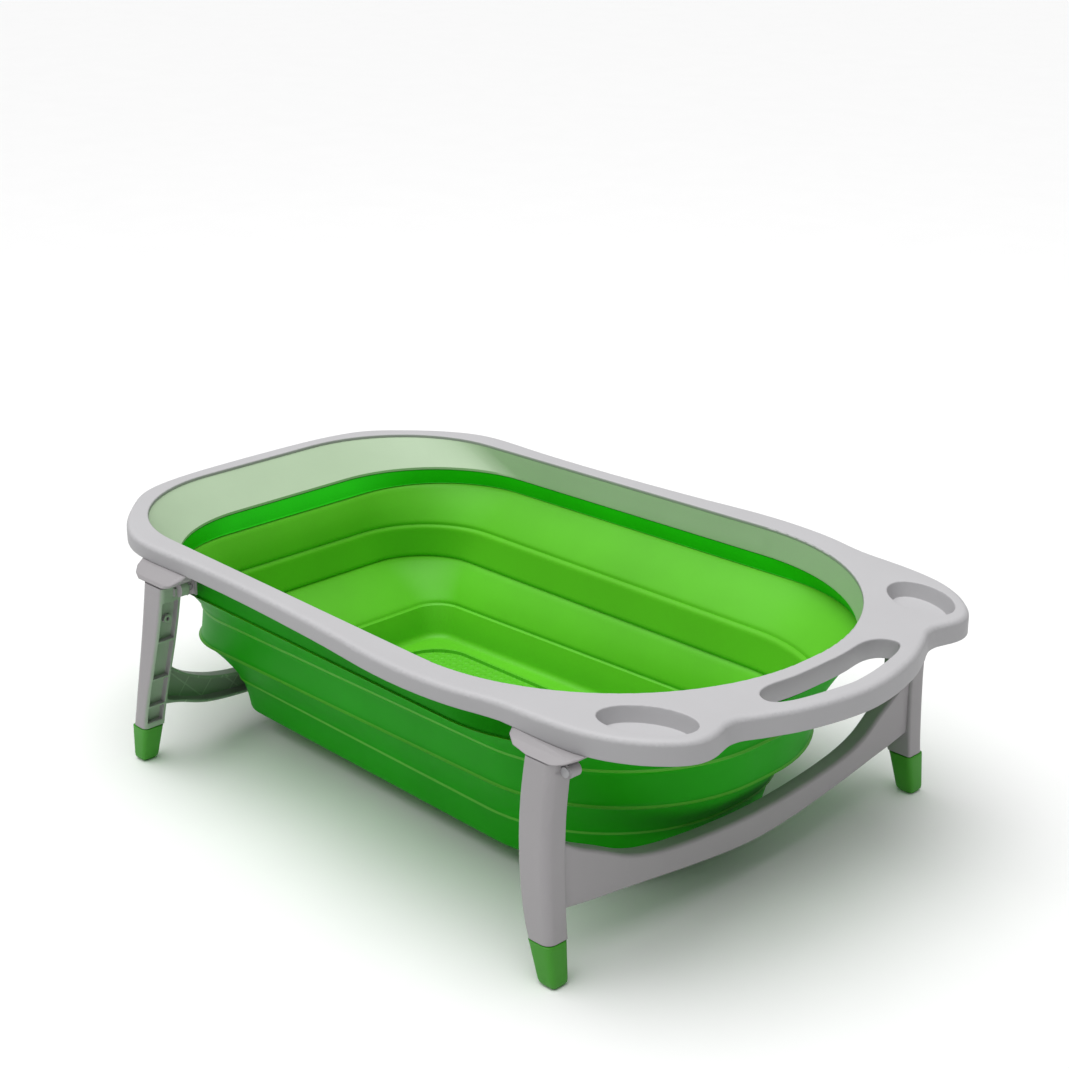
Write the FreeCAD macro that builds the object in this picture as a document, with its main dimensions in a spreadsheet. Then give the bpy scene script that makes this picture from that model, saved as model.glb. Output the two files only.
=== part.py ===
import FreeCAD, Part
import math
import os
import Sketcher
from FreeCAD import Placement, Rotation, Vector

# Folding baby bathtub: a hard rim with two soap dishes and a carrying slot, a basin of stepped
# tiers joined by soft folding webs, and two fold-in leg frames. Millimetres, +Z up, the head end
# at -X, the carrying slot at +X, the floor at z = 0. "left" is +Y, "right" is -Y.

doc = FreeCAD.newDocument("BabyBathtub")

DIMENSIONS = [
    ("rim_top", 226.0), ("deck_thick", 3.5), ("skirt_thick", 3.0), ("skirt_drop", 20.5), ("skirt_rise", 4.5),
    ("rim_round", 6.0), ("lip_round", 1.5), ("dish_long", 41.0), ("dish_wide", 25.0),
    ("dish_deep", 13.0), ("dish_x", 328.0), ("dish_y", 178.0), ("dish_turn", -25.0),
    ("pan_wall", 2.0), ("slot_wall", 2.5), ("slot_depth", 18.0),
    ("level_a", 200.0), ("level_b", 181.0), ("level_ring", 140.0), ("level_c", 102.0),
    ("level_d", 62.0), ("level_e", 24.0), ("hard_wall", 2.5), ("web_wall", 2.4),
    ("tray_x_head", -240.0), ("tray_x_foot", 213.0), ("tray_half", 112.0), ("tray_corner", 48.0),
    ("tray_floor", 2.5), ("tray_lip", 6.0), ("drain_x", 185.0), ("drain_bore", 15.0),
    ("drain_flange", 24.0), ("plug_core", 12.0), ("plug_cap", 20.0), ("plug_length", 12.0),
    ("seal_wire", 0.75),
    ("foot_hinge_x", 264.0), ("head_hinge_x", -214.0), ("hinge_z", 195.0),
    ("eye_radius", 8.0), ("pin_radius", 3.95), ("pin_bore", 4.0), ("pin_length", 17.0),
    ("pin_mid", 225.3),
    ("leg_wall", 3.0), ("channel_depth", 6.5), ("leg_low", 39.3), ("bar_thick", 16.0), ("rib_thick", 2.0),
    ("boss_radius", 6.0), ("boss_z", 192.5), ("boss_out", 238.5), ("boss_in", 227.3),
    ("button_radius", 4.4), ("button_bore", 4.5), ("button_length", 4.5), ("button_proud", 1.5),
    ("cap_top", 38.5), ("cap_round", 3.5), ("tenon_long", 12.0),
    ("screw_radius", 1.5), ("screw_head", 3.4),
]

sheet = doc.addObject("Spreadsheet::Sheet", "Dims")
for row, (alias, value) in enumerate(DIMENSIONS, 1):
    sheet.set("A%d" % row, alias)
    sheet.set("B%d" % row, str(value))
    sheet.setAlias("B%d" % row, alias)
doc.recompute()

nodes = []


def dim(alias):
    """A driving dimension from the sheet."""
    return float(sheet.get(alias))


def keep(label, obj):
    """Name a finished sub-part."""
    obj.Label = label
    nodes.append(obj)
    return obj


def feature(label, shape, origin=Vector(0, 0, 0)):
    """A sub-part from a computed shape, placed by its own reference point."""
    back = Placement(Vector(-origin.x, -origin.y, -origin.z), Rotation()).toMatrix()
    local = shape.transformed(back, True)
    obj = doc.addObject("Part::Feature", label)
    obj.Shape = local
    obj.Placement = Placement(origin, Rotation())
    return keep(label, obj)


def mirrored(shape):
    """The same shape on the other side of the bath."""
    return shape.mirror(Vector(0, 0, 0), Vector(0, 1, 0))


# ---------------------------------------------------------------- outlines

def rounded_outline(points_at, radii, place):
    """Closed outline of four sides and four corner arcs.

    points_at holds the four corners in order, radii the corner radii, and place maps a plane
    point to space."""
    wire = []
    count = len(points_at)
    for i in range(count):
        before = Vector(*points_at[i - 1], 0)
        corner = Vector(*points_at[i], 0)
        after = Vector(*points_at[(i + 1) % count], 0)
        back = (before - corner).normalize()
        ahead = (after - corner).normalize()
        half = math.acos(max(-1.0, min(1.0, back.dot(ahead)))) / 2
        reach = radii[i] / math.tan(half)
        start = corner + back * reach
        end = corner + ahead * reach
        centre = corner + (back + ahead).normalize() * (radii[i] / math.sin(half))
        middle = centre + (corner - centre).normalize() * radii[i]
        wire.append((start, middle, end))
    edges = []
    for i, (start, middle, end) in enumerate(wire):
        here = [place(p.x, p.y) for p in (start, middle, end)]
        edges.append(Part.Arc(*here).toShape())
        following = wire[(i + 1) % count][0]
        edges.append(Part.makeLine(here[2], place(following.x, following.y)))
    return Part.Wire(edges)


def basin_plan(plan, inset, z):
    """Plan of the basin at height z: a tapered long round form, broader toward the foot end."""
    x_head, half_head, r_head, x_foot, half_foot, r_foot = plan
    x_head, x_foot = x_head + inset, x_foot - inset
    half_head, half_foot = half_head - inset, half_foot - inset
    corners = [(x_foot, -half_foot), (x_foot, half_foot), (x_head, half_head), (x_head, -half_head)]
    radii = [r_foot - inset, r_foot - inset, r_head - inset, r_head - inset]
    return rounded_outline(corners, radii, lambda u, v: Vector(u, v, z))


def stack(levels):
    """Solid through several basin plans: (plan, inset, z) from one end to the other."""
    wires = [basin_plan(plan, inset, z) for plan, inset, z in levels]
    return Part.makeLoft(wires, True, True)


# x of the head end, half-width and corner radius there; x of the foot end, the same there
OPENING = (-392.0, 202.0, 138.0, 341.0, 231.0, 217.0)
LEVEL_A = (-342.0, 205.0, 137.0, 339.0, 229.0, 214.0)
LEVEL_B = (-334.0, 209.0, 121.0, 315.0, 228.0, 159.0)
RING_TOP = (-325.0, 176.0, 97.0, 306.0, 178.0, 160.0)
LEVEL_C = (-324.0, 170.0, 73.0, 301.0, 171.0, 158.0)
LEVEL_D = (-271.0, 141.0, 33.0, 268.0, 157.0, 142.0)
LEVEL_E = (-265.0, 134.0, 29.0, 258.0, 150.0, 136.0)

RIM_HALF = [
    (412, 0), (410.5, 22), (406.5, 45), (402, 63), (396.5, 80), (390, 95), (383, 110),
    (376.5, 123), (375, 135), (378.5, 149), (381, 163), (379, 176), (371.5, 189), (361, 200),
    (350, 209), (337, 217), (322, 224), (305, 229), (289, 232), (268, 234.5), (247, 235.8),
    (224, 237.5), (205, 241), (188, 245), (163, 249), (126, 251.5), (95, 251.2), (60, 248.5),
    (20, 244), (-20, 240.5), (-60, 237.5), (-110, 234.5), (-160, 232.6), (-205, 232.2),
    (-245, 233), (-272, 232.2), (-294, 228), (-318, 217.5), (-345, 199), (-372, 174),
    (-394, 147), (-405, 115), (-410, 78), (-411.6, 38), (-412, 0),
]
SLOT_HALF = [
    (395, 0), (392.5, 26), (387.5, 52), (382, 71), (371.5, 84), (359, 80), (352.5, 66),
    (354.5, 40), (356, 0),
]


def closed_curve(half):
    """Smooth closed curve through a half outline and its mirror image."""
    points = [Vector(x, y, 0) for x, y in half]
    points += [Vector(x, -y, 0) for x, y in half[-2:0:-1]]
    curve = Part.BSplineCurve()
    curve.interpolate(Points=points, PeriodicFlag=True)
    return curve


def shifted_curve(half, inset, samples=96):
    """The closed curve moved inward by inset (outward when negative)."""
    curve = closed_curve(half)
    first, last = curve.FirstParameter, curve.LastParameter
    moved = []
    for i in range(samples):
        at = first + (last - first) * i / samples
        along = curve.tangent(at)[0]
        moved.append(curve.value(at) + Vector(-along.y, along.x, 0) * inset)
    result = Part.BSplineCurve()
    result.interpolate(Points=moved, PeriodicFlag=True)
    return result


def prism(curve, low, high):
    """Upright solid over a closed plan curve."""
    face = Part.Face(Part.Wire([curve.toShape()]))
    face.translate(Vector(0, 0, low))
    return face.extrude(Vector(0, 0, high - low))


def upright(x, y, low, high, radius):
    """Upright round bar."""
    return Part.makeCylinder(radius, high - low, Vector(x, y, low))


def across(x, z, y_in, y_out, radius):
    """Round bar along Y on the left side."""
    return Part.makeCylinder(radius, y_out - y_in, Vector(x, y_in, z), Vector(0, 1, 0))


def block(x0, x1, y0, y1, z0, z1):
    """Rectangular solid between limits."""
    return Part.makeBox(x1 - x0, y1 - y0, z1 - z0, Vector(x0, y0, z0))


# ---------------------------------------------------------------- rim

top = dim("rim_top")
deck_under = top - dim("deck_thick")
skirt_low = top - dim("skirt_drop")


def dish_wire(grow, z):
    """Oval of a soap dish on the left side, grown by grow."""
    oval = Part.Ellipse(Vector(0, 0, 0), dim("dish_long") + grow, dim("dish_wide") + grow).toShape()
    oval.rotate(Vector(0, 0, 0), Vector(0, 0, 1), dim("dish_turn"))
    oval.translate(Vector(dim("dish_x"), dim("dish_y"), z))
    return Part.Wire([oval])


# screws that hold the collar ring up against the deck, left side: x, y
COLLAR_SCREWS = [(-150.0, 220.7), (-20.0, 226.2), (190.0, 221.0)]
# brackets: hinge x, the two screw x positions and the y of both screws
BRACKET_SCREWS = {
    "foot": [(255.0, 218.0), (297.0, 214.0)],
    "head": [(-262.0, 223.0), (-208.0, 223.0)],
}


def both_sides(points):
    return [(x, y) for x, y in points] + [(x, -y) for x, y in points]


def skirt_at(x):
    """Height of the skirt's lower edge: level to the hinges, then down to the foot end."""
    t = min(1.0, max(0.0, (x - 225.0) / 75.0))
    return skirt_low + dim("skirt_rise") * (1.0 - t)


def above_slope(low, high):
    """Wedge between two offsets from the skirt's lower edge, across the whole width."""
    line = [(-430.0, skirt_at(-430.0)), (225.0, skirt_at(225.0)), (300.0, skirt_at(300.0)),
            (430.0, skirt_at(430.0))]
    lower = [Vector(x, -300, z + low) for x, z in line]
    upper = [Vector(x, -300, z + high) for x, z in reversed(line)]
    outline = Part.makePolygon(lower + upper + [lower[0]])
    return Part.Face(outline).extrude(Vector(0, 600, 0))


def build_rim():
    """Deck with outer skirt, carrying slot walls and two soap dish pans."""
    outer = prism(closed_curve(RIM_HALF), skirt_low, top)
    top_edges = [e for e in outer.Edges if e.BoundBox.ZMin > top - 0.5]
    body = outer.makeFillet(dim("rim_round"), top_edges)
    inside = prism(shifted_curve(RIM_HALF, dim("skirt_thick")), skirt_low - 5, deck_under)
    walls = prism(shifted_curve(SLOT_HALF, -dim("slot_wall")), top - dim("slot_depth"), top - 1)
    inside = inside.cut(walls)
    for side in (1, -1):
        pan = Part.makeLoft([dish_wire(dim("pan_wall"), top - 1),
                             dish_wire(-2.5, top - dim("dish_deep") - dim("pan_wall"))], True, True)
        if side < 0:
            pan = mirrored(pan)
        inside = inside.cut(pan)
    body = body.cut(inside)
    opening = stack([(OPENING, 0.0, skirt_low - 6), (OPENING, 0.0, top + 5)])
    body = body.cut(opening)
    body = body.cut(prism(closed_curve(SLOT_HALF), skirt_low - 6, top + 5))
    body = body.cut(above_slope(-8.0, 0.0))
    for side in (1, -1):
        hollow = Part.makeLoft([dish_wire(0.6, top + 1),
                                dish_wire(-5.0, top - dim("dish_deep"))], True, True)
        if side < 0:
            hollow = mirrored(hollow)
        body = body.cut(hollow)
    for x, y in both_sides(COLLAR_SCREWS + BRACKET_SCREWS["foot"] + BRACKET_SCREWS["head"]):
        body = body.cut(upright(x, y, deck_under - 1, deck_under + 2.2, dim("screw_radius") + 0.05))
    lip = [e for e in body.Edges if e.BoundBox.ZMin > top - 0.01 and e.BoundBox.XMax < 400]
    return body.makeFillet(dim("lip_round"), lip)


feature("rim", build_rim(), Vector(0, 0, top))

# ---------------------------------------------------------------- basin

z_a, z_b = dim("level_a"), dim("level_b")
z_ring, z_c = dim("level_ring"), dim("level_c")
z_d, z_e = dim("level_d"), dim("level_e")
hard, web = dim("hard_wall"), dim("web_wall")


def build_collar():
    """Hard ring that lines the opening below the deck, with screw lugs."""
    shell = stack([(OPENING, -5.0, deck_under), (LEVEL_A, 0.0, z_a - 2.5)])
    lugs = [upright(x, y, deck_under - 3, deck_under, 6.5) for x, y in both_sides(COLLAR_SCREWS)]
    shell = shell.fuse(lugs)
    hollow = stack([(OPENING, 0.0, deck_under), (LEVEL_A, hard, z_a), (LEVEL_A, hard, z_a - 2.5)])
    shell = shell.cut(hollow)
    for x, y in both_sides(COLLAR_SCREWS):
        shell = shell.cut(upright(x, y, deck_under - 4, deck_under + 1, dim("screw_radius") + 0.1))
    return shell


feature("collar_ring", build_collar(), Vector(0, 0, z_a))


def build_band():
    """Soft band below the collar ring, lapping its foot from outside."""
    lap = z_a - 2.5
    shell = stack([(LEVEL_A, -0.6, lap), (LEVEL_B, 0.0, z_b)])
    hollow = stack([(LEVEL_A, hard, lap), (LEVEL_B, hard, z_b)])
    return shell.cut(hollow)


feature("collar_band", build_band(), Vector(0, 0, z_b))


def tier(plan_high, high, plan_low, low, wall):
    """Sloped wall between two plans."""
    shell = stack([(plan_high, 0.0, high), (plan_low, 0.0, low)])
    return shell.cut(stack([(plan_high, wall, high), (plan_low, wall, low)]))


feature("upper_fold", tier(LEVEL_B, z_b, RING_TOP, z_ring, web), Vector(0, 0, z_ring))
feature("middle_ring", tier(RING_TOP, z_ring, LEVEL_C, z_c, hard), Vector(0, 0, z_c))

tray_plan = (dim("tray_x_head"), dim("tray_half"), dim("tray_corner"),
             dim("tray_x_foot"), dim("tray_half"), dim("tray_corner") + 20)


def build_lower_fold():
    """Soft web, heel wall and the soft margin around the floor panel, in one moulding."""
    shell = stack([(LEVEL_C, 0.0, z_c), (LEVEL_D, 0.0, z_d), (LEVEL_E, 0.0, z_e + 8),
                   (LEVEL_E, 8.0, z_e)])
    floor = z_e + web
    hollow = stack([(LEVEL_C, web, z_c), (LEVEL_D, web, z_d), (LEVEL_E, web, z_e + 9),
                    (LEVEL_E, 9.5, floor)])
    shell = shell.cut(hollow)
    return shell.cut(stack([(tray_plan, 0.0, z_e - 2), (tray_plan, 0.0, floor + 2)]))


feature("lower_fold", build_lower_fold(), Vector(0, 0, z_e))

# ---------------------------------------------------------------- sketch helpers


def origin_plane(body, role):
    """The body's own origin plane with that role."""
    return next(f for f in body.Origin.OriginFeatures if f.Role == role)


def new_body(label, x, y, z, rotation=Rotation()):
    body = doc.addObject("PartDesign::Body", label)
    body.Placement = Placement(Vector(x, y, z), rotation)
    return keep(label, body)


def new_sketch(body, name, role="XY_Plane", lift=0.0):
    sketch = body.newObject("Sketcher::SketchObject", name)
    sketch.AttachmentSupport = [(origin_plane(body, role), "")]
    sketch.MapMode = "FlatFace"
    if lift:
        sketch.AttachmentOffset = Placement(Vector(0, 0, lift), Rotation())
    return sketch


def add_circle(sketch, radius_expression, x=0.0, y=0.0):
    """Circle with its radius bound to the sheet."""
    circle = sketch.addGeometry(Part.Circle(Vector(x, y, 0), Vector(0, 0, 1), 1.0), False)
    index = sketch.addConstraint(Sketcher.Constraint("Radius", circle, 1.0))
    sketch.setExpression("Constraints[%d]" % index, radius_expression)
    return circle


def add_polygon(sketch, points):
    """Closed run of straight lines."""
    first = sketch.GeometryCount
    for i, (x, y) in enumerate(points):
        xn, yn = points[(i + 1) % len(points)]
        sketch.addGeometry(Part.LineSegment(Vector(x, y, 0), Vector(xn, yn, 0)), False)
    for i in range(len(points)):
        sketch.addConstraint(Sketcher.Constraint("Coincident", first + i, 2,
                                                 first + (i + 1) % len(points), 1))


def add_rounded(sketch, half_x, half_y, radius):
    """Rectangle with rounded corners about the sketch origin."""
    corners = [(half_x, -half_y), (half_x, half_y), (-half_x, half_y), (-half_x, -half_y)]
    wire = rounded_outline(corners, [radius] * 4, lambda u, v: Vector(u, v, 0))
    first = sketch.GeometryCount
    for edge in wire.Edges:
        if edge.Curve.TypeId == "Part::GeomCircle":
            ends = [edge.valueAt(edge.FirstParameter), edge.valueAt(edge.LastParameter)]
            middle = edge.valueAt((edge.FirstParameter + edge.LastParameter) / 2)
            sketch.addGeometry(Part.Arc(ends[0], middle, ends[1]), False)
        else:
            sketch.addGeometry(Part.LineSegment(edge.Vertexes[0].Point, edge.Vertexes[1].Point),
                               False)
    return first


def pad(body, sketch, length_expression, midplane=False):
    solid = body.newObject("PartDesign::Pad", sketch.Name + "Pad")
    solid.Profile = sketch
    solid.setExpression("Length", length_expression)
    solid.Midplane = midplane
    sketch.Visibility = False
    body.Tip = solid
    return solid


def revolve(body, points, name):
    """Turned solid about the body's Z axis from a half section (radius, height)."""
    sketch = new_sketch(body, name, "XZ_Plane")
    add_polygon(sketch, points)
    turned = body.newObject("PartDesign::Revolution", name + "Turn")
    turned.Profile = sketch
    turned.ReferenceAxis = (sketch, ["V_Axis"])
    turned.Angle = 360
    body.Tip = turned
    return turned


# ---------------------------------------------------------------- floor panel and drain

floor_thick = dim("tray_floor")
tray_mid = (dim("tray_x_head") + dim("tray_x_foot")) / 2


def build_tray():
    """Hard floor panel with a low raised margin and the drain seat."""
    gap = 0.0
    panel = stack([(tray_plan, gap, z_e), (tray_plan, gap, z_e + floor_thick)])
    margin = stack([(tray_plan, gap, z_e), (tray_plan, gap, z_e + dim("tray_lip"))])
    margin = margin.cut(stack([(tray_plan, 3.0, z_e), (tray_plan, 3.0, z_e + dim("tray_lip"))]))
    panel = panel.fuse(margin)
    return panel.cut(upright(dim("drain_x"), 0, z_e - 5, z_e + 8, dim("drain_bore"))).removeSplitter()


feature("tray", build_tray(), Vector(tray_mid, 0, z_e))

bore, flange = dim("drain_bore"), dim("drain_flange")
core = dim("plug_core")
bush = new_body("drain_bush", dim("drain_x"), 0, z_e)
revolve(bush, [(core + 0.4, -7), (bore, -7), (bore, floor_thick),
               (flange, floor_thick), (flange, floor_thick + 1.5), (core + 0.4, floor_thick + 1.5)],
        "BushSection")

plug_seat = floor_thick + 1.5
plug = new_body("drain_plug", dim("drain_x"), 0, z_e + plug_seat)
revolve(plug, [(0, -9), (core, -9), (core, -5), (core - 1.2, -5), (core - 1.2, -2.8), (core, -2.8),
               (core, 0.1), (dim("plug_cap"), 0.1), (dim("plug_cap") - 1.0, 2.6),
               (5, 3.2), (5, 9.5), (0, 9.5)], "PlugSection")

seal = new_body("plug_seal", dim("drain_x"), 0, z_e + plug_seat - 3.9)
seal_sketch = new_sketch(seal, "SealSection", "XZ_Plane")
add_circle(seal_sketch, "<<Dims>>.seal_wire", core - 0.4, 0)
seal_turn = seal.newObject("PartDesign::Revolution", "SealTurn")
seal_turn.Profile = seal_sketch
seal_turn.ReferenceAxis = (seal_sketch, ["V_Axis"])
seal_turn.Angle = 360
seal.Tip = seal_turn

# ---------------------------------------------------------------- brackets and hinge pins

hinge_z = dim("hinge_z")


def build_bracket(end):
    """Bracket on the left side: a root on the deck, a visible gusset and the hinge cheek."""
    hx = dim(end + "_hinge_x")
    if end == "foot":
        root = block(hx - 14, hx + 38, 208, 225.5, skirt_low - 2, deck_under)
        levels = [(233.5, 311.0, 233.5, skirt_low + 5), (236.0, 310.0, 241.0, skirt_low - 1.5),
                  (246.0, 304.0, 247.5, skirt_low - 4.2), (263.8, 298.5, 250.8, hinge_z + 5.2)]
        y_in = 208.0
    else:
        root = block(hx - 54, hx + 12, 217.5, 228, skirt_low + 1, deck_under)
        levels = [(-273.0, -202.0, 234.0, skirt_low + 5), (-270.0, -203.0, 243.0, skirt_low + 0.5),
                  (-264.0, -206.0, 249.0, skirt_low - 3.0), (-258.0, -211.0, 250.8, hinge_z + 4.2)]
        y_in = 217.5
    cheek = block(hx - 8, hx + 8, 217.5, 226, hinge_z - 8, skirt_low + 1)
    wires = []
    for x_low, x_high, y_out, z in levels:
        outline = [(x_low, y_in), (x_high, y_in), (x_high, y_out), (x_low, y_out)]
        wires.append(rounded_outline(outline, [1.0, 1.0, 7.0, 7.0],
                                     lambda u, v, level=z: Vector(u, v, level)))
    gusset = Part.makeLoft(wires, True, True).cut(above_slope(-0.3, 30.0))
    shape = gusset.fuse([root, cheek])
    shape = shape.cut(across(hx, hinge_z, 226.0, 235.0, dim("eye_radius") + 1.5))
    shape = shape.cut(across(hx, hinge_z, 210.0, 240.0, dim("pin_bore")))
    for x, y in BRACKET_SCREWS[end]:
        shape = shape.cut(upright(x, y, 180, deck_under - 5, dim("screw_head") + 0.3))
        shape = shape.cut(upright(x, y, 180, deck_under + 1, dim("screw_radius") + 0.1))
    return shape.removeSplitter()


for end in ("foot", "head"):
    left = build_bracket(end)
    at = dim(end + "_hinge_x")
    feature("bracket_%s_left" % end, left, Vector(at, 0, hinge_z))
    feature("bracket_%s_right" % end, mirrored(left), Vector(at, 0, hinge_z))

for end in ("foot", "head"):
    for side, sign in (("left", 1), ("right", -1)):
        pin = new_body("hinge_pin_%s_%s" % (end, side), dim(end + "_hinge_x"),
                       sign * dim("pin_mid"), hinge_z)
        pin.setExpression("Placement.Base.x", "<<Dims>>.%s_hinge_x" % end)
        pin_sketch = new_sketch(pin, "Pin_%s_%s" % (end, side), "XZ_Plane")
        add_circle(pin_sketch, "<<Dims>>.pin_radius")
        pad(pin, pin_sketch, "<<Dims>>.pin_length", True)

# ---------------------------------------------------------------- leg frames

# height, inner x, outer x, inner y, outer y of each leg on the left side
FOOT_LEG = [
    (199.5, 264.8, 296.5, 227.3, 250.6), (172.0, 261.0, 294.0, 227.8, 251.0),
    (150.0, 259.0, 292.0, 228.0, 251.2), (106.0, 258.5, 291.0, 228.0, 251.4),
    (70.0, 261.5, 292.0, 228.0, 251.4), (39.3, 268.5, 294.0, 228.0, 251.0),
]
HEAD_LEG = [
    (197.5, -248.5, -216.0, 227.3, 250.6), (172.0, -252.8, -221.0, 227.8, 251.0),
    (150.0, -257.0, -226.5, 228.0, 251.2), (106.0, -266.5, -240.0, 228.0, 251.4),
    (70.0, -274.8, -251.5, 228.0, 251.4), (39.3, -282.2, -259.7, 228.0, 251.1),
]
# y, underside z, top z and outward x of each crossbar, from the leg to the middle
FOOT_BAR = [
    (232.0, 62.0, 126.0, 288.0), (218.0, 60.5, 116.0, 288.5), (205.0, 59.0, 109.0, 289.5),
    (177.0, 57.0, 96.0, 292.0), (150.0, 55.5, 84.5, 295.0), (103.0, 51.0, 76.0, 298.0),
    (50.0, 46.0, 72.0, 300.0), (0.0, 43.5, 70.5, 300.5),
]
HEAD_BAR = [
    (232.0, 62.0, 108.0, 271.5), (218.0, 57.5, 98.0, 275.5), (205.0, 53.0, 87.0, 278.5),
    (177.0, 42.0, 71.5, 283.5), (150.0, 36.0, 62.5, 287.0), (103.0, 31.5, 55.5, 290.0),
    (50.0, 29.5, 52.5, 292.0), (0.0, 29.0, 52.0, 293.0),
]


def leg_outline(end, row, trim=0.0, open_side=0.0):
    """Section of a left leg; trimmed and opened toward the middle of the bath for its hollow."""
    z, x_in, x_out, y_in, y_out = row
    if end == "head":
        x_in, x_out = x_out, x_in
    sign = 1 if end == "foot" else -1
    inner = x_in - sign * open_side if open_side else x_in
    outer = x_in + sign * dim("channel_depth") if open_side else x_out
    corners = [(inner, y_in + trim), (outer, y_in + trim), (outer, y_out - trim),
               (inner, y_out - trim)]
    radii = [1.2, 2.5, 8.5, 5.0] if not trim else [0.8, 1.0, 2.0, 0.8]
    if sign < 0:
        corners, radii = corners[::-1], radii[::-1]
    return rounded_outline(corners, radii, lambda u, v: Vector(u, v, z))


def bar_outline(end, y, low, high, reach, trim=0.0, open_side=0.0):
    """Section of a crossbar at y, open toward the middle of the bath for its hollow."""
    sign = 1 if end == "foot" else -1
    outer = sign * (reach - trim)
    inner = sign * (reach - dim("bar_thick") - open_side)
    corners = [(inner, low + trim), (outer, low + trim), (outer, high - trim), (inner, high - trim)]
    radii = [1.2, 4.0, 4.0, 1.2] if not trim else [0.8, 1.5, 1.5, 0.8]
    if sign < 0:
        corners, radii = corners[::-1], radii[::-1]
    return rounded_outline(corners, radii, lambda u, v: Vector(u, y, v))


def whole_bar(end, rows, trim=0.0, open_side=0.0, shorten=0.0):
    """Smooth crossbar from leg to leg."""
    wires = []
    for y, low, high, reach in rows:
        wires.append(bar_outline(end, y - (shorten if y > 225 else 0), low, high, reach, trim,
                                 open_side))
    for y, low, high, reach in rows[-2::-1]:
        wires.append(bar_outline(end, -(y - (shorten if y > 225 else 0)), low, high, reach, trim,
                                 open_side))
    return Part.makeLoft(wires, True, False)


def build_leg_frame(end):
    """Two channel legs and the arched crossbar between them, one moulding."""
    legs, bars = (FOOT_LEG, FOOT_BAR) if end == "foot" else (HEAD_LEG, HEAD_BAR)
    sign = 1 if end == "foot" else -1
    hx = dim(end + "_hinge_x")
    wall = dim("leg_wall")
    post = Part.makeLoft([leg_outline(end, row) for row in legs], True, False)
    channel = Part.makeLoft([leg_outline(end, row, wall, 4.0) for row in legs], True, False)
    low_cut, high_cut = dim("leg_low") + 6, hinge_z - 13
    channel = channel.common(block(-400, 400, 200, 260, low_cut, high_cut))
    cap_row = legs[-1]
    mid_x = (cap_row[1] + cap_row[2]) / 2
    tenon = block(mid_x - 4.5, mid_x + 4.5, 235.0, 244.0, dim("cap_top") + 0.8 - dim("tenon_long"),
                  dim("leg_low") + 1)
    eye = across(hx, hinge_z, 226.3, 234.5, dim("eye_radius"))
    boss_x = hx + sign * 36.0
    boss = across(boss_x, dim("boss_z"), dim("boss_in"), dim("boss_out"), dim("boss_radius"))
    neck = block(min(hx, boss_x), max(hx, boss_x), 229.0, 237.0, dim("boss_z") - 5,
                 dim("boss_z") + 3)
    ribs = []
    for level in (63.0, 95.0, 138.0):
        ribs.append(block(-400, 400, 200, 260, level, level + dim("rib_thick")))
    ribs = channel.common(Part.makeCompound(ribs)).common(post)
    boss_row = (legs[1][2] + legs[2][2]) / 2 if end == "head" else (legs[1][1] + legs[2][1]) / 2
    lug = Part.makeCylinder(4.2, 12.0, Vector(boss_row + sign * 1.2, 239.5, 163.0),
                            Vector(sign, 0, 0))
    lug_bore = Part.makeCylinder(1.8, 9.0, Vector(boss_row - sign * 2, 239.5, 163.0),
                                 Vector(sign, 0, 0))
    bar = whole_bar(end, bars)
    trough = whole_bar(end, bars, wall, 4.0, 8.0)
    left = post.fuse([tenon, eye, neck])
    frame = left.fuse([mirrored(left), bar])
    frame = frame.cut([channel, mirrored(channel), trough])
    frame = frame.fuse([ribs, mirrored(ribs), lug, mirrored(lug)])
    frame = frame.cut([lug_bore, mirrored(lug_bore)])
    frame = frame.fuse([boss, mirrored(boss)])
    pin_bore = across(hx, hinge_z, 226.0, 234.1, dim("pin_bore"))
    button_bore = across(boss_x, dim("boss_z"), 228.6, 250.0, dim("button_bore"))
    frame = frame.cut([pin_bore, mirrored(pin_bore), button_bore, mirrored(button_bore)])
    return frame.removeSplitter(), boss_x


boss_x = {}
for end in ("foot", "head"):
    frame_shape, boss_x[end] = build_leg_frame(end)
    feature(end + "_leg_frame", frame_shape, Vector(dim(end + "_hinge_x"), 0, hinge_z))

# ---------------------------------------------------------------- foot caps

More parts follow.
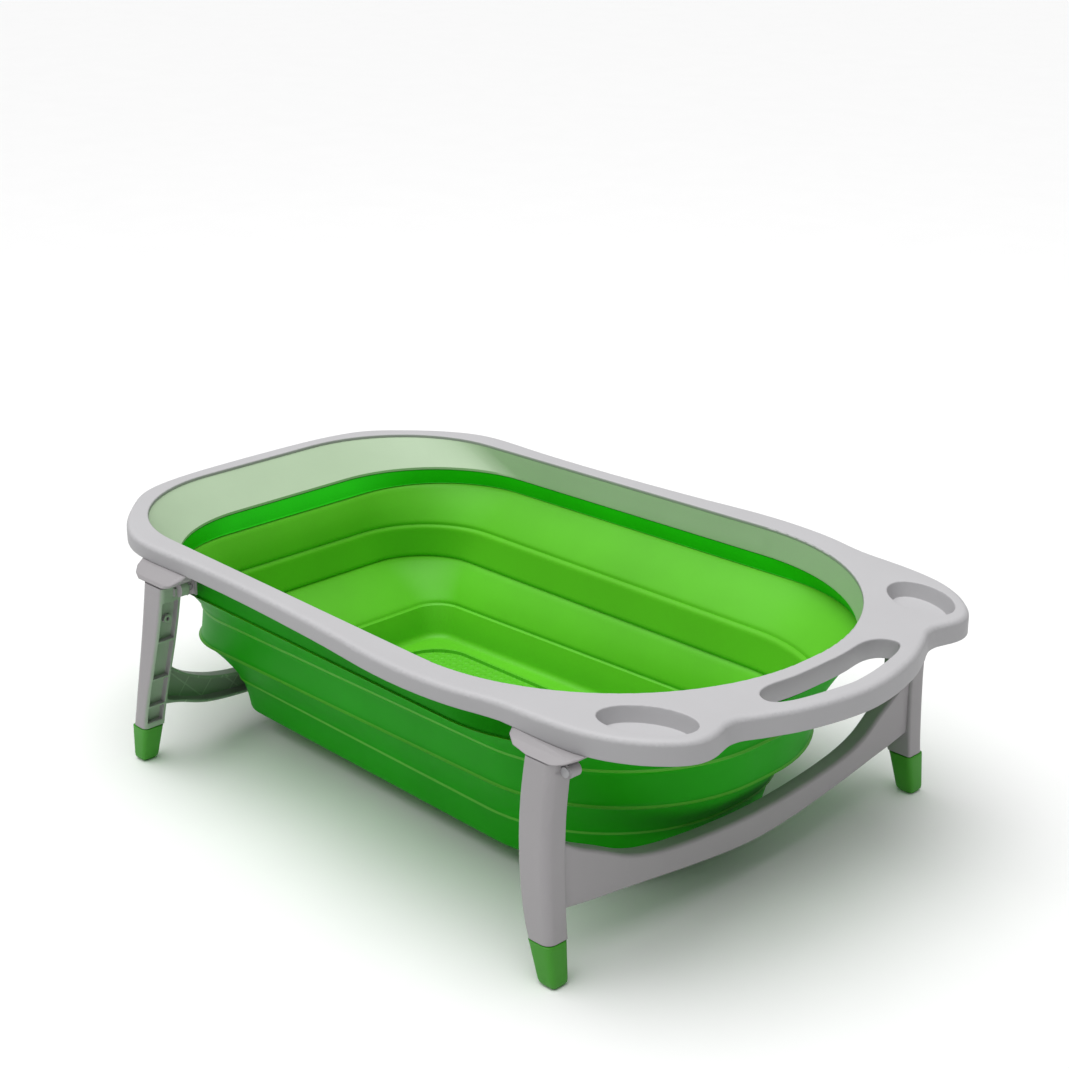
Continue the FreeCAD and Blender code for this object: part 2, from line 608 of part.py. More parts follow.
for end, legs in (("foot", FOOT_LEG), ("head", HEAD_LEG)):
    row = legs[-1]
    mid_x = (row[1] + row[2]) / 2
    lean = 7.0 if end == "foot" else -7.0
    half_x = (row[2] - row[1]) / 2
    for side, sign in (("left", 1), ("right", -1)):
        cap = new_body("leg_cap_%s_%s" % (end, side), mid_x, sign * 239.5, 0)
        lower = new_sketch(cap, "CapSole_%s_%s" % (end, side))
        add_rounded(lower, half_x - 3.0, 9.3, 3.5)
        lower.AttachmentOffset = Placement(Vector(lean, 0, 0), Rotation())
        upper = new_sketch(cap, "CapTop_%s_%s" % (end, side), "XY_Plane")
        add_rounded(upper, half_x + 0.35, 11.95, 4.9)
        upper.AttachmentOffset = Placement(Vector(0, 0, dim("cap_top")), Rotation())
        upper.setExpression("AttachmentOffset.Base.z", "<<Dims>>.cap_top")
        loft = cap.newObject("PartDesign::AdditiveLoft", "CapLoft_%s_%s" % (end, side))
        loft.Profile = lower
        loft.Sections = [upper]
        cap.Tip = loft
        doc.recompute()
        socket = new_sketch(cap, "CapSocket_%s_%s" % (end, side), "XY_Plane")
        add_polygon(socket, [(-4.7, -4.7), (4.7, -4.7), (4.7, 4.7), (-4.7, 4.7)])
        socket.AttachmentOffset = Placement(Vector(0, 0, dim("cap_top")), Rotation())
        hole = cap.newObject("PartDesign::Pocket", "CapHole_%s_%s" % (end, side))
        hole.Profile = socket
        hole.setExpression("Length", "<<Dims>>.tenon_long + 0.2")
        cap.Tip = hole
        doc.recompute()
        if hole.Shape.Volume > loft.Shape.Volume - 500:
            hole.Reversed = True
            doc.recompute()
        sole_edges = ["Edge%d" % (i + 1) for i, e in enumerate(hole.Shape.Edges)
                      if e.BoundBox.ZMax < 0.1]
        rounding = cap.newObject("PartDesign::Fillet", "CapRound_%s_%s" % (end, side))
        rounding.Base = (hole, sole_edges)
        rounding.Radius = 2.0
        cap.Tip = rounding

# ---------------------------------------------------------------- lock buttons and springs

proud = dim("button_proud")
for end in ("foot", "head"):
    for side, sign in (("left", 1), ("right", -1)):
        outward = dim("boss_out") + proud
        button = new_body("lock_button_%s_%s" % (end, side), boss_x[end],
                          sign * (outward - dim("button_length") / 2), dim("boss_z"))
        face = new_sketch(button, "Button_%s_%s" % (end, side), "XZ_Plane")
        add_circle(face, "<<Dims>>.button_radius")
        pad(button, face, "<<Dims>>.button_length", True)


def coil(x, y, z, direction):
    """Small coil spring along Y, drawn pressed together as wound rings."""
    rings = []
    for i in range(3):
        centre = Vector(x, y + direction * (0.75 + 1.4 * i), z)
        rings.append(Part.makeTorus(3.3, 0.65, centre, Vector(0, 1, 0)))
    joined = rings[0]
    spine = block(x - 0.5, x + 0.5, min(y, y + direction * 4.3), max(y, y + direction * 4.3),
                  z + 2.8, z + 3.8)
    return joined.fuse(rings[1:] + [spine])


for end in ("foot", "head"):
    springs = [coil(boss_x[end], 228.6, dim("boss_z"), 1),
               coil(boss_x[end], -228.6, dim("boss_z"), -1)]
    feature("%s_lock_springs" % end, Part.makeCompound(springs),
            Vector(boss_x[end], 0, dim("boss_z")))


# ---------------------------------------------------------------- screws

def screw(x, y, seat):
    """Pan-head screw driven upward into the deck; seat is the height of the head's bearing face."""
    head = upright(x, y, seat - 2.0, seat, dim("screw_head"))
    shank = upright(x, y, seat, deck_under + 2.0, dim("screw_radius"))
    cross = block(x - 2, x + 2, y - 0.4, y + 0.4, seat - 2.0, seat - 1.0)
    cross = cross.fuse(block(x - 0.4, x + 0.4, y - 2, y + 2, seat - 2.0, seat - 1.0))
    return head.fuse(shank).cut(cross)


ring_screws = [screw(x, y, deck_under - 3) for x, y in both_sides(COLLAR_SCREWS)]
feature("collar_screws", Part.makeCompound(ring_screws), Vector(0, 0, deck_under))
mount_screws = [screw(x, y, deck_under - 5)
                for x, y in both_sides(BRACKET_SCREWS["foot"] + BRACKET_SCREWS["head"])]
feature("bracket_screws", Part.makeCompound(mount_screws), Vector(0, 0, deck_under))

# ---------------------------------------------------------------- check and write

doc.recompute()
for obj in doc.Objects:
    if "Invalid" in obj.State or "Error" in obj.State:
        raise RuntimeError("%s: %s" % (obj.Label, obj.State))
os.makedirs("parts", exist_ok=True)
for obj in nodes:
    if obj.Shape.isNull() or not obj.Shape.isValid():
        raise RuntimeError("%s has a bad shape" % obj.Label)
    obj.Shape.exportStep("parts/%s.step" % obj.Label)
    box = obj.Shape.BoundBox
    print("%-24s solids %d  vol %9.0f  x %7.1f %7.1f  y %7.1f %7.1f  z %6.1f %6.1f" % (
        obj.Label, len(obj.Shape.Solids), obj.Shape.Volume, box.XMin, box.XMax, box.YMin, box.YMax,
        box.ZMin, box.ZMax))
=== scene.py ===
import math

import bmesh
import bpy
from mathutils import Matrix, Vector


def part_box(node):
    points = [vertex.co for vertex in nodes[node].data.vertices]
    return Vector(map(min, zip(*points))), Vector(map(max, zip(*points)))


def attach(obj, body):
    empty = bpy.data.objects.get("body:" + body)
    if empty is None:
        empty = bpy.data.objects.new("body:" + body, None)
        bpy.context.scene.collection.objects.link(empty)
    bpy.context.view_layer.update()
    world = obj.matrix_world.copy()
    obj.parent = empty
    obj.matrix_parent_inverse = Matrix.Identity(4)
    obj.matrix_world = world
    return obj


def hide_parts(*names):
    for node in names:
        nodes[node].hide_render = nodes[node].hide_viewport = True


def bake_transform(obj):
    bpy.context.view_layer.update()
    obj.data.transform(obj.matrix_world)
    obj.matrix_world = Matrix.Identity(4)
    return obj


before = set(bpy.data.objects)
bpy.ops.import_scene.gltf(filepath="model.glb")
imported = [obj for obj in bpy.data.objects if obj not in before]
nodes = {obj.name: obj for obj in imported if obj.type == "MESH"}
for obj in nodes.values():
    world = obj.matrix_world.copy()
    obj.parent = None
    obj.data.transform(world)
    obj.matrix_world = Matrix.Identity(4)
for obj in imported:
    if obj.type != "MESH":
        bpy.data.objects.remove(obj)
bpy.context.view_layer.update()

MM = 0.001

# ---------------------------------------------------------------- materials


def new_material(name):
    """Empty node material with a Principled shader, and a helper that adds nodes."""
    material = bpy.data.materials.new(name)
    material.use_nodes = True
    tree = material.node_tree
    shader = tree.nodes["Principled BSDF"]

    def add(kind, **values):
        node = tree.nodes.new(kind)
        for key, value in values.items():
            if hasattr(node, key):
                setattr(node, key, value)
            else:
                node.inputs[key.replace("_", " ")].default_value = value
        return node

    return material, tree, shader, add


def object_space(tree, add):
    return add("ShaderNodeTexCoord").outputs["Object"]


RIB_PITCH = 0.021
RIB_HALF = 0.0011
LEG_INSIDE = 0.226


def cross_ribs(tree, add, place, facing, after):
    """Shallow crossing ribs on the side of a crossbar that faces the basin."""
    link = tree.links.new

    def math_node(operation, first, second):
        node = add("ShaderNodeMath", operation=operation)
        for slot, value in enumerate((first, second)):
            if isinstance(value, float):
                node.inputs[slot].default_value = value
            elif value is not None:
                link(value, node.inputs[slot])
        return node.outputs[0]

    parts = add("ShaderNodeSeparateXYZ")
    link(place, parts.inputs["Vector"])
    along = math_node("PINGPONG", parts.outputs["Y"], RIB_PITCH)
    up = math_node("PINGPONG", parts.outputs["Z"], RIB_PITCH)
    gap = math_node("ABSOLUTE", math_node("SUBTRACT", along, up), None)
    line = math_node("LESS_THAN", gap, RIB_HALF)
    inboard = math_node("LESS_THAN", math_node("ABSOLUTE", parts.outputs["Y"], None), LEG_INSIDE)
    raised = math_node("MULTIPLY", math_node("MULTIPLY", line, inboard), facing)
    ribs = add("ShaderNodeBump", Strength=0.7, Distance=0.0016)
    link(raised, ribs.inputs["Height"])
    link(ribs.outputs["Normal"], after.inputs["Normal"])
    # The returned rib mask sets the strength of the painted highlight on the rib lines.
    return math_node("MULTIPLY", raised, 0.45)


def moulded(name, colour, shade, rough, grain=0.04, grain_scale=1400.0, gloss=0.45,
            edge=0.0, basin_side=None, upright_shade=1.0):
    """Moulded plastic: faint flow clouds in the colour, a fine spark-eroded grain, uneven gloss."""
    material, tree, shader, add = new_material(name)
    link = tree.links.new
    place = object_space(tree, add)
    clouds = add("ShaderNodeTexNoise", Scale=9.0, Detail=4.0, Roughness=0.55)
    link(place, clouds.inputs["Vector"])
    mix = add("ShaderNodeMixRGB", blend_type="MIX")
    mix.inputs["Color1"].default_value = (*colour, 1)
    mix.inputs["Color2"].default_value = (*[c * shade for c in colour], 1)
    spread = add("ShaderNodeMapRange")
    spread.inputs["From Min"].default_value = 0.35
    spread.inputs["From Max"].default_value = 0.7
    link(clouds.outputs["Fac"], spread.inputs["Value"])
    link(spread.outputs["Result"], mix.inputs["Fac"])
    link(mix.outputs["Color"], shader.inputs["Base Color"])
    scuff = add("ShaderNodeTexNoise", Scale=38.0, Detail=6.0, Roughness=0.7)
    link(place, scuff.inputs["Vector"])
    gloss_range = add("ShaderNodeMapRange")
    gloss_range.inputs["To Min"].default_value = rough - 0.06
    gloss_range.inputs["To Max"].default_value = rough + 0.08
    link(scuff.outputs["Fac"], gloss_range.inputs["Value"])
    link(gloss_range.outputs["Result"], shader.inputs["Roughness"])
    fine = add("ShaderNodeTexNoise", Scale=grain_scale, Detail=2.0, Roughness=0.5)
    link(place, fine.inputs["Vector"])
    waves = add("ShaderNodeTexNoise", Scale=14.0, Detail=1.0)
    link(place, waves.inputs["Vector"])
    coarse_bump = add("ShaderNodeBump", Strength=0.06, Distance=0.002)
    link(waves.outputs["Fac"], coarse_bump.inputs["Height"])
    bump = add("ShaderNodeBump", Strength=grain, Distance=0.0006)
    link(fine.outputs["Fac"], bump.inputs["Height"])
    link(coarse_bump.outputs["Normal"], bump.inputs["Normal"])
    link(bump.outputs["Normal"], shader.inputs["Normal"])
    shader.inputs["Specular IOR Level"].default_value = gloss
    # Painted shade: faces that stand upright (low world normal Z) get a darker base colour, down to
    # upright_shade.
    if upright_shade < 1.0:
        facing = add("ShaderNodeNewGeometry").outputs["Normal"]
        parts = add("ShaderNodeSeparateXYZ")
        link(facing, parts.inputs["Vector"])
        level = add("ShaderNodeMapRange")
        level.inputs["From Min"].default_value = 0.25
        level.inputs["From Max"].default_value = 0.85
        level.inputs["To Min"].default_value = upright_shade
        level.inputs["To Max"].default_value = 1.0
        link(parts.outputs["Z"], level.inputs["Value"])
        shaded = add("ShaderNodeMixRGB", blend_type="MULTIPLY")
        shaded.inputs["Fac"].default_value = 1.0
        link(mix.outputs["Color"], shaded.inputs["Color1"])
        link(level.outputs["Result"], shaded.inputs["Color2"])
        link(shaded.outputs["Color"], shader.inputs["Base Color"])
    # Painted light: faces turned to the basin (world normal X toward it) are mixed toward the green
    # tint, standing in for green light bounced off the basin.
    if basin_side:
        tint, side = basin_side
        facing = add("ShaderNodeNewGeometry").outputs["Normal"]
        parts = add("ShaderNodeSeparateXYZ")
        link(facing, parts.inputs["Vector"])
        toward = add("ShaderNodeMapRange")
        toward.inputs["From Min"].default_value = 0.3 * side
        toward.inputs["From Max"].default_value = 0.8 * side
        link(parts.outputs["X"], toward.inputs["Value"])
        lit = add("ShaderNodeMixRGB", blend_type="MIX")
        lit.inputs["Color2"].default_value = (*tint, 1)
        link(toward.outputs["Result"], lit.inputs["Fac"])
        link(mix.outputs["Color"], lit.inputs["Color1"])
        raised = cross_ribs(tree, add, place, toward.outputs["Result"], coarse_bump)
        # Painted highlight: the rib lines are lightened toward a pale green-grey, standing in for
        # light catching the ribs.
        rib_highlight = add("ShaderNodeMixRGB", blend_type="MIX")
        rib_highlight.inputs["Color2"].default_value = (0.50, 0.66, 0.48, 1)
        link(raised, rib_highlight.inputs["Fac"])
        link(lit.outputs["Color"], rib_highlight.inputs["Color1"])
        link(rib_highlight.outputs["Color"], shader.inputs["Base Color"])
    if edge:
        rounding = add("ShaderNodeBevel", samples=4, Radius=edge)
        first = coarse_bump
        if coarse_bump.inputs["Normal"].is_linked:
            first = coarse_bump.inputs["Normal"].links[0].from_node
        link(rounding.outputs["Normal"], first.inputs["Normal"])
    return material


def ribbed_floor(name, colour):
    """The floor panel: moulded plastic with a field of small anti-slip dots."""
    material = moulded(name, colour, 0.93, 0.42)
    tree = material.node_tree
    link = tree.links.new
    place = tree.nodes.new("ShaderNodeTexCoord").outputs["Object"]
    dots = tree.nodes.new("ShaderNodeTexVoronoi")
    dots.inputs["Scale"].default_value = 110.0
    dots.inputs["Randomness"].default_value = 0.0
    flat = tree.nodes.new("ShaderNodeMapping")
    flat.inputs["Scale"].default_value = (1, 1, 0)
    link(place, flat.inputs["Vector"])
    link(flat.outputs["Vector"], dots.inputs["Vector"])
    edge = tree.nodes.new("ShaderNodeMapRange")
    edge.inputs["From Min"].default_value = 0.22
    edge.inputs["From Max"].default_value = 0.32
    edge.inputs["To Min"].default_value = 1.0
    edge.inputs["To Max"].default_value = 0.0
    link(dots.outputs["Distance"], edge.inputs["Value"])
    bump = tree.nodes.new("ShaderNodeBump")
    bump.inputs["Strength"].default_value = 0.5
    bump.inputs["Distance"].default_value = 0.0012
    shader = tree.nodes["Principled BSDF"]
    earlier = shader.inputs["Normal"].links[0].from_socket
    link(earlier, bump.inputs["Normal"])
    link(edge.outputs["Result"], bump.inputs["Height"])
    link(bump.outputs["Normal"], shader.inputs["Normal"])
    return material


def turned_steel(name, colour, rough):
    """Bright metal with fine streaks round the part."""
    material, tree, shader, add = new_material(name)
    link = tree.links.new
    place = object_space(tree, add)
    stretch = add("ShaderNodeMapping")
    stretch.inputs["Scale"].default_value = (400, 400, 3000)
    link(place, stretch.inputs["Vector"])
    streaks = add("ShaderNodeTexNoise", Scale=1.0, Detail=3.0)
    link(stretch.outputs["Vector"], streaks.inputs["Vector"])
    spread = add("ShaderNodeMapRange")
    spread.inputs["To Min"].default_value = rough - 0.08
    spread.inputs["To Max"].default_value = rough + 0.12
    link(streaks.outputs["Fac"], spread.inputs["Value"])
    link(spread.outputs["Result"], shader.inputs["Roughness"])
    bump = add("ShaderNodeBump", Strength=0.15, Distance=0.0002)
    link(streaks.outputs["Fac"], bump.inputs["Height"])
    link(bump.outputs["Normal"], shader.inputs["Normal"])
    shader.inputs["Base Color"].default_value = (*colour, 1)
    shader.inputs["Metallic"].default_value = 1.0
    return material


# The rim's upright faces are painted darker through upright_shade, as painted shade.
rim_grey = moulded("rim_grey", (0.52, 0.515, 0.528), 0.96, 0.5, gloss=0.35, edge=0.0012,
                    upright_shade=0.74)
LEG_COLOUR = (0.36, 0.345, 0.355)
# Painted green bounce light for the leg faces turned to the basin.
BASIN_BOUNCE_GREEN = (0.27, 0.37, 0.26)


def frame_grey(name, basin_side=None):
    """Warm grey of the legs and brackets; basin_side paints green bounce light on the faces turned
    to the basin.
    """
    return moulded(name, LEG_COLOUR, 0.95, 0.5, gloss=0.35, edge=0.0009, basin_side=basin_side)


leg_grey = frame_grey("leg_grey")
head_grey = frame_grey("head_grey", (BASIN_BOUNCE_GREEN, 1.0))
foot_grey = frame_grey("foot_grey", (BASIN_BOUNCE_GREEN, -1.0))
collar_green_grey = moulded("collar_green_grey", (0.42, 0.55, 0.37), 0.94, 0.42)
soft_green = moulded("soft_green", (0.12, 0.55, 0.016), 0.90, 0.46, grain=0.03, grain_scale=900.0,
                     gloss=0.3)
band_green = moulded("band_green", (0.012, 0.60, 0.001), 0.88, 0.5, grain=0.03, gloss=0.25)
hard_green = moulded("hard_green", (0.13, 0.57, 0.018), 0.92, 0.42, grain=0.02, gloss=0.35)
# Lighter green for the bead rows on the walls' outside: painted highlight along the beads.
ridge_highlight_green = moulded("ridge_highlight_green", (0.075, 0.43, 0.014), 0.92, 0.45, grain=0.02, gloss=0.35)
# Outside faces of the green walls: darker copies of the inside greens (soft_green, hard_green), as
# painted shade; the inside greens are the lighter, lit copies.
shaded_outer_green = moulded("shaded_outer_green", (0.008, 0.34, 0.0005), 0.86, 0.5, grain=0.03,
                      grain_scale=900.0, gloss=0.10)
shaded_outer_hard_green = moulded("shaded_outer_hard_green", (0.009, 0.35, 0.0005), 0.88, 0.44, grain=0.02,
                           gloss=0.12)
cap_green = moulded("cap_green", (0.040, 0.30, 0.006), 0.85, 0.5, grain=0.08, grain_scale=700.0)
floor_green = ribbed_floor("floor_green", (0.11, 0.52, 0.02))
fitting_grey = moulded("fitting_grey", (0.42, 0.42, 0.43), 0.93, 0.4)
seal_black = moulded("seal_black", (0.02, 0.02, 0.02), 0.8, 0.55, grain=0.06)
steel = turned_steel("steel", (0.62, 0.62, 0.64), 0.3)


def give(obj, material):
    obj.data.materials.clear()
    obj.data.materials.append(material)


def angle_shading(angle):
    """Node group that keeps edges sharper than the angle crisp and smooths the others."""
    group = bpy.data.node_groups.new("angle_shading_%d" % angle, "GeometryNodeTree")
    group.interface.new_socket("Geometry", in_out="INPUT", socket_type="NodeSocketGeometry")
    group.interface.new_socket("Geometry", in_out="OUTPUT", socket_type="NodeSocketGeometry")
    start = group.nodes.new("NodeGroupInput")
    end = group.nodes.new("NodeGroupOutput")
    edge = group.nodes.new("GeometryNodeInputMeshEdgeAngle")
    compare = group.nodes.new("FunctionNodeCompare")
    compare.data_type = "FLOAT"
    compare.operation = "GREATER_THAN"
    compare.inputs[1].default_value = math.radians(angle)
    shade = group.nodes.new("GeometryNodeSetShadeSmooth")
    shade.domain = "EDGE"
    shade.inputs["Shade Smooth"].default_value = False
    link = group.links.new
    link(edge.outputs["Unsigned Angle"], compare.inputs[0])
    link(compare.outputs["Result"], shade.inputs["Selection"])
    link(start.outputs[0], shade.inputs[0])
    link(shade.outputs[0], end.inputs[0])
    return group


def smooth_cad(node, material, angle=32.0, bevel=0.0):
    """CAD piece with its own shape, soft shading across its round faces, and a moulded edge."""
    obj = nodes[node]
    give(obj, material)
    weld = obj.modifiers.new("weld", "WELD")
    weld.merge_threshold = 0.00002
    if bevel:
        edge = obj.modifiers.new("edge", "BEVEL")
        edge.width = bevel
        edge.segments = 2
        edge.limit_method = "ANGLE"
        edge.angle_limit = math.radians(50)
        edge.harden_normals = False
    for polygon in obj.data.polygons:
        polygon.use_smooth = True
    shading = obj.modifiers.new("shading", "NODES")
    shading.node_group = angle_shading(angle)
    weighted = obj.modifiers.new("normals", "WEIGHTED_NORMAL")
    weighted.keep_sharp = True
    return obj


# ---------------------------------------------------------------- basin shapes

# x of the head end, half-width and corner radius there; x of the foot end, the same there (mm)
LEVEL_A = (-342.0, 205.0, 137.0, 339.0, 229.0, 214.0)
LEVEL_B = (-334.0, 209.0, 121.0, 315.0, 228.0, 159.0)
RING_TOP = (-325.0, 176.0, 97.0, 306.0, 178.0, 160.0)
LEVEL_C = (-324.0, 170.0, 73.0, 301.0, 171.0, 158.0)
LEVEL_D = (-271.0, 141.0, 33.0, 268.0, 157.0, 142.0)
LEVEL_E = (-265.0, 134.0, 29.0, 258.0, 150.0, 136.0)
LOW_LINE = 62.0
PANEL = (-240.0, 112.0, 48.0, 213.0, 112.0, 68.0)
# heights of the joints between the basin's walls (mm)
COLLAR_FOOT = 197.5
BAND_FOOT = 181.0
RING_HIGH = 140.0
RING_LOW = 102.0
FLOOR_UNDER = 24.0
HEEL_TOP = 33.0
HARD_WALL = 2.6
SOFT_WALL = 2.4
RIDGE_ROWS = (0, 1, 13, 14)
SIDES = (16, 40, 16, 40)
CORNER = 18


def plan_points(plan, inset, z):
    """Points round a basin plan, the same count and order for every plan."""
    x_head, half_head, r_head, x_foot, half_foot, r_foot = plan
    x_head, x_foot = x_head + inset, x_foot - inset
    half_head, half_foot = half_head - inset, half_foot - inset
    corners = [Vector((x_foot, -half_foot)), Vector((x_foot, half_foot)),
               Vector((x_head, half_head)), Vector((x_head, -half_head))]
    radii = [r_foot - inset, r_foot - inset, r_head - inset, r_head - inset]
    arcs = []
    for i, corner in enumerate(corners):
        back = (corners[i - 1] - corner).normalized()
        ahead = (corners[(i + 1) % 4] - corner).normalized()
        half = math.acos(back.dot(ahead)) / 2
        centre = corner + (back + ahead).normalized() * (radii[i] / math.sin(half))
        start = corner + back * (radii[i] / math.tan(half)) - centre
        end = corner + ahead * (radii[i] / math.tan(half)) - centre
        turn = math.atan2(end.y, end.x) - math.atan2(start.y, start.x)
        turn = (turn + math.pi) % (2 * math.pi) - math.pi
        first = math.atan2(start.y, start.x)
        arcs.append([centre + Vector((math.cos(first + turn * k / CORNER),
                                      math.sin(first + turn * k / CORNER))) * radii[i]
                     for k in range(CORNER + 1)])
    points = []
    for i in range(4):
        points += arcs[i]
        start, end = arcs[i][-1], arcs[(i + 1) % 4][0]
        count = SIDES[(i + 1) % 4]
        points += [start.lerp(end, k / count) for k in range(1, count)]
    return [Vector((p.x * MM, p.y * MM, z * MM)) for p in points]


def between(first, second, t):
    return tuple(a + (b - a) * t for a, b in zip(first, second))


def ring_mesh(name, rows, outer, inner, ridges=()):
    """Closed wall from rows of plan points: the first half outside, the second half inside."""
    mesh = bpy.data.meshes.new(name)
    shape = bmesh.new()
    grid = [[shape.verts.new(p) for p in plan_points(*row)] for row in rows]
    for i, row in enumerate(grid):
        following = grid[(i + 1) % len(grid)]
        for k in range(len(row)):
            after = (k + 1) % len(row)
            shape.faces.new((row[k], row[after], following[after], following[k]))
    bmesh.ops.recalc_face_normals(shape, faces=shape.faces)
    shape.to_mesh(mesh)
    shape.free()
    for material in (outer, inner, ridge_highlight_green):
        mesh.materials.append(material)
    around = len(grid[0])
    for polygon in mesh.polygons:
        polygon.use_smooth = True
        row = polygon.index // around
        # Outside rows take the darker shaded copy and inside rows the lighter lit one: painted
        # shade and painted light.
        polygon.material_index = 0 if row < len(rows) // 2 - 1 else 1
        # Bead rows get the lighter ridge material, a painted highlight.
        if row in ridges:
            polygon.material_index = 2
    mesh.set_sharp_from_angle(angle=math.radians(40))
    obj = bpy.data.objects.new(name, mesh)
    bpy.context.scene.collection.objects.link(obj)
    return obj


def wall_rows(outline, wall):
    """Rows of a wall: the outside from top to bottom, then the inside back up."""
    outside = [(plan, inset, z) for plan, inset, z in outline]
    inside = [(plan, inset + wall, z) for plan, inset, z in reversed(outline)]
    return outside + inside


def bead(t, height=1.3, width=0.045):
    """Small rounded moulding at both ends of a wall."""
    return -height * (math.exp(-(t / width) ** 2) + math.exp(-((1 - t) / width) ** 2))


STEPS = [0, 0.02, 0.05, 0.1, 0.16, 0.24, 0.34, 0.45, 0.55, 0.66, 0.76, 0.84, 0.9, 0.95, 0.98, 1]

# soft band under the collar ring
band_rows = [(LEVEL_A, -0.6, COLLAR_FOOT), (LEVEL_A, -1.8, COLLAR_FOOT - 1.1)]
for t in STEPS[2:-1]:
    band_rows.append((between(LEVEL_A, LEVEL_B, t), -0.4 + 0.6 * math.sin(math.pi * t),
                      COLLAR_FOOT - (COLLAR_FOOT - BAND_FOOT) * t))
band_rows += [(LEVEL_B, -0.9, BAND_FOOT + 1.2), (LEVEL_B, 0.0, BAND_FOOT)]
band = ring_mesh("soft_band", wall_rows(band_rows, HARD_WALL), shaded_outer_green, band_green)
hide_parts("collar_band")
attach(band, "rim_body")

# upper folding web, between the band and the middle ring
web_rows = []
for t in STEPS:
    sag = 2.2 * math.sin(math.pi * t)
    web_rows.append((between(LEVEL_B, RING_TOP, t), sag + bead(t, 1.9),
                     BAND_FOOT - (BAND_FOOT - RING_HIGH) * t))
upper = ring_mesh("upper_web", wall_rows(web_rows, SOFT_WALL), shaded_outer_green, soft_green, RIDGE_ROWS)
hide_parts("upper_fold")
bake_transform(upper)

# hard middle ring with a moulded edge at the top and bottom
ring_rows = []
for t in STEPS:
    ring_rows.append((between(RING_TOP, LEVEL_C, t), 0.6 + bead(t, 2.2),
                      RING_HIGH - (RING_HIGH - RING_LOW) * t))
ring = ring_mesh("tier_ring", wall_rows(ring_rows, HARD_WALL), shaded_outer_hard_green, hard_green,
                 RIDGE_ROWS)
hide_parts("middle_ring")
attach(ring, "ring_body")

# lower folding web, heel wall and the soft margin of the floor
low_rows = []
for t in STEPS:
    low_rows.append((between(LEVEL_C, LEVEL_D, t), 2.6 * math.sin(math.pi * t) + bead(t, 1.9),
                     RING_LOW - (RING_LOW - LOW_LINE) * t))
for t in STEPS[2:-3]:
    low_rows.append((between(LEVEL_D, LEVEL_E, t), 0.8 * math.sin(math.pi * t),
                     LOW_LINE - (LOW_LINE - HEEL_TOP) * t))
outer_low = list(low_rows)
for k in range(0, 7):
    turn = math.pi / 2 * k / 6
    outer_low.append((LEVEL_E, 9.0 * (1 - math.cos(turn)), HEEL_TOP - 9.0 * math.sin(turn)))
outer_low.append((PANEL, 0.0, FLOOR_UNDER))
inner_low = [(PANEL, 0.0, FLOOR_UNDER + SOFT_WALL)]
for k in range(6, -1, -1):
    turn = math.pi / 2 * k / 6
    inner_low.append((LEVEL_E, SOFT_WALL + 7.0 * (1 - math.cos(turn)),
                      HEEL_TOP + 0.4 - 7.0 * math.sin(turn)))
inner_low += [(plan, inset + SOFT_WALL, z) for plan, inset, z in reversed(low_rows)]
lower = ring_mesh("lower_web", outer_low + inner_low, shaded_outer_green, soft_green, RIDGE_ROWS)
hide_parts("lower_fold")
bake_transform(lower)

# ---------------------------------------------------------------- leg caps


CAP_SIDES = 40
CAP_SQUARENESS = 0.42
CAP_ROLL = 0.86


def cap_mesh(node, body):
    """Soft cap: rounded square section, tapering to a rounded sole."""
    low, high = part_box(node)
    end_sign = 1 if "foot" in body else -1
    top_half = 13.15 if end_sign > 0 else 11.9
    top_x = low.x + top_half * MM if end_sign > 0 else high.x - top_half * MM
    middle_y = (low.y + high.y) / 2
    sections = []
    height = high.z
    for k in range(15):
        t = k / 14
        half_x = (top_half - 3.4 * t) * MM
        half_y = (11.9 - 2.6 * t) * MM
        shift = 7.0 * MM * end_sign * t
        z = height * (1 - t)
        if t > CAP_ROLL:
            roll = (t - CAP_ROLL) / (1 - CAP_ROLL)
            shrink = 2.6 * MM * (1 - math.sqrt(max(0.0, 1 - roll * roll)))
            half_x -= shrink
            half_y -= shrink
        sections.append((half_x, half_y, shift, z))
    lip = sections[0]
    sections.insert(0, (lip[0] - 0.8 * MM, lip[1] - 0.8 * MM, 0.0, height))
    sections[1] = (lip[0], lip[1], 0.0, height - 0.7 * MM)
    shape = bmesh.new()
    rows = []
    for half_x, half_y, shift, z in sections:
        row = []
        for k in range(CAP_SIDES):
            turn = 2 * math.pi * k / CAP_SIDES
            c, s = math.cos(turn), math.sin(turn)
            x = half_x * math.copysign(abs(c) ** CAP_SQUARENESS, c)
            y = half_y * math.copysign(abs(s) ** CAP_SQUARENESS, s)
            row.append(shape.verts.new((top_x + shift + x, middle_y + y, z)))
        rows.append(row)
    for upper_row, lower_row in zip(rows, rows[1:]):
        for k in range(CAP_SIDES):
            after = (k + 1) % CAP_SIDES
            shape.faces.new((upper_row[k], upper_row[after], lower_row[after], lower_row[k]))
    shape.faces.new(rows[0])
    shape.faces.new(list(reversed(rows[-1])))
    bmesh.ops.recalc_face_normals(shape, faces=shape.faces)
    mesh = bpy.data.meshes.new("soft_" + node)
    shape.to_mesh(mesh)
    shape.free()
    for polygon in mesh.polygons:
        polygon.use_smooth = True
    mesh.set_sharp_from_angle(angle=math.radians(45))
    obj = bpy.data.objects.new("soft_" + node, mesh)
    bpy.context.scene.collection.objects.link(obj)
    give(obj, cap_green)
    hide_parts(node)
    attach(obj, body)


for end in ("foot", "head"):
    for side in ("left", "right"):
        cap_mesh("leg_cap_%s_%s" % (end, side), end + "_legs")

# ---------------------------------------------------------------- hard pieces from the CAD

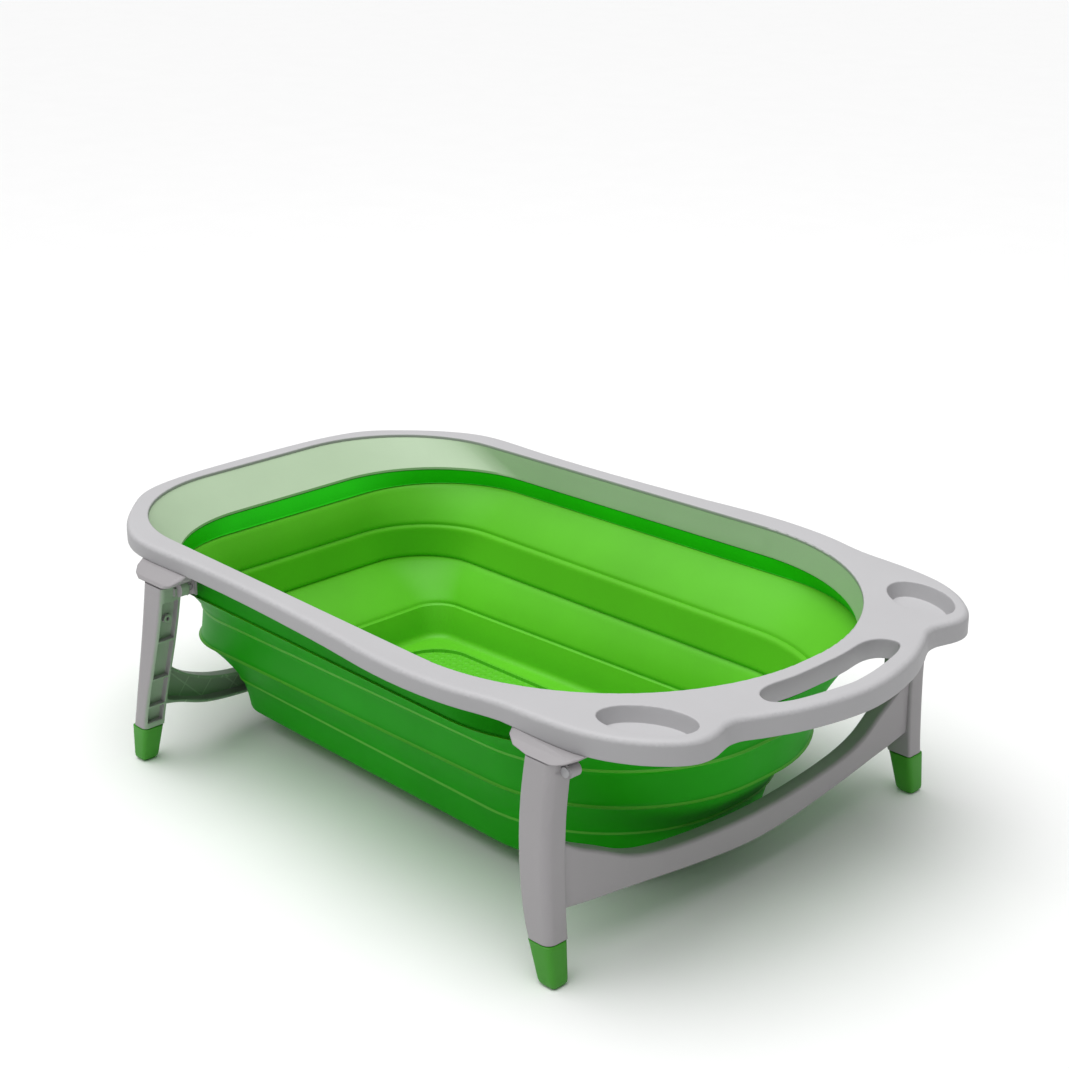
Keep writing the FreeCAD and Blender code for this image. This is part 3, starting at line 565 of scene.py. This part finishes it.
smooth_cad("rim", rim_grey, 30.0)
smooth_cad("collar_ring", collar_green_grey, 25.0)
smooth_cad("tray", floor_green, 30.0)
for end in ("foot", "head"):
    smooth_cad(end + "_leg_frame", head_grey if end == "head" else foot_grey, 35.0)
    smooth_cad(end + "_lock_springs", steel, 40.0)
    for side in ("left", "right"):
        smooth_cad("bracket_%s_%s" % (end, side), leg_grey, 30.0, 0.0006)
        smooth_cad("hinge_pin_%s_%s" % (end, side), steel, 30.0, 0.0003)
        smooth_cad("lock_button_%s_%s" % (end, side), fitting_grey, 30.0, 0.0005)
smooth_cad("drain_bush", fitting_grey, 30.0, 0.0004)
smooth_cad("drain_plug", fitting_grey, 30.0, 0.0004)
smooth_cad("plug_seal", seal_black, 60.0)
smooth_cad("collar_screws", steel, 30.0)
smooth_cad("bracket_screws", steel, 30.0)

# ---------------------------------------------------------------- stage, light and camera

scene = bpy.context.scene
scene.view_settings.view_transform = "Standard"

FLOOR_GAP = -0.0003
floor_mesh = bpy.data.meshes.new("studio_floor")
shape = bmesh.new()
bmesh.ops.create_grid(shape, x_segments=2, y_segments=2, size=14.0)
shape.to_mesh(floor_mesh)
shape.free()
floor = bpy.data.objects.new("studio_floor", floor_mesh)
scene.collection.objects.link(floor)
floor.location.z = FLOOR_GAP
give(floor, moulded("studio_paper", (0.93, 0.93, 0.93), 0.99, 0.8, grain=0.0, gloss=0.1))

world = bpy.data.worlds.new("studio")
scene.world = world
world.use_nodes = True
world.node_tree.nodes["Background"].inputs["Color"].default_value = (1, 1, 1, 1)
world.node_tree.nodes["Background"].inputs["Strength"].default_value = 0.33


def softbox(name, position, target, size, power):
    light = bpy.data.lights.new(name, "AREA")
    light.shape = "SQUARE"
    light.size = size
    light.energy = power
    obj = bpy.data.objects.new(name, light)
    scene.collection.objects.link(obj)
    obj.location = position
    obj.rotation_euler = (Vector(target) - Vector(position)).to_track_quat("-Z", "Y").to_euler()


softbox("top_light", (-0.2, 0.1, 2.4), (0, 0, 0.1), 2.0, 10.0)

sun = bpy.data.lights.new("sun", "SUN")
sun.energy = 2.35
sun.angle = math.radians(70)
sun_obj = bpy.data.objects.new("sun", sun)
scene.collection.objects.link(sun_obj)
sun_obj.rotation_euler = Vector((0.06, 0.26, -1.0)).to_track_quat("-Z", "Y").to_euler()

lens_data = bpy.data.cameras.new("camera")
lens_data.sensor_width = 36.0
lens_data.lens = 69.5
camera = bpy.data.objects.new("camera", lens_data)
scene.collection.objects.link(camera)
camera.location = (1.2939, -1.2478, 0.9122)
camera.rotation_euler = (math.pi / 2 - math.radians(20.367), 0.0, math.radians(45.532))
scene.camera = camera
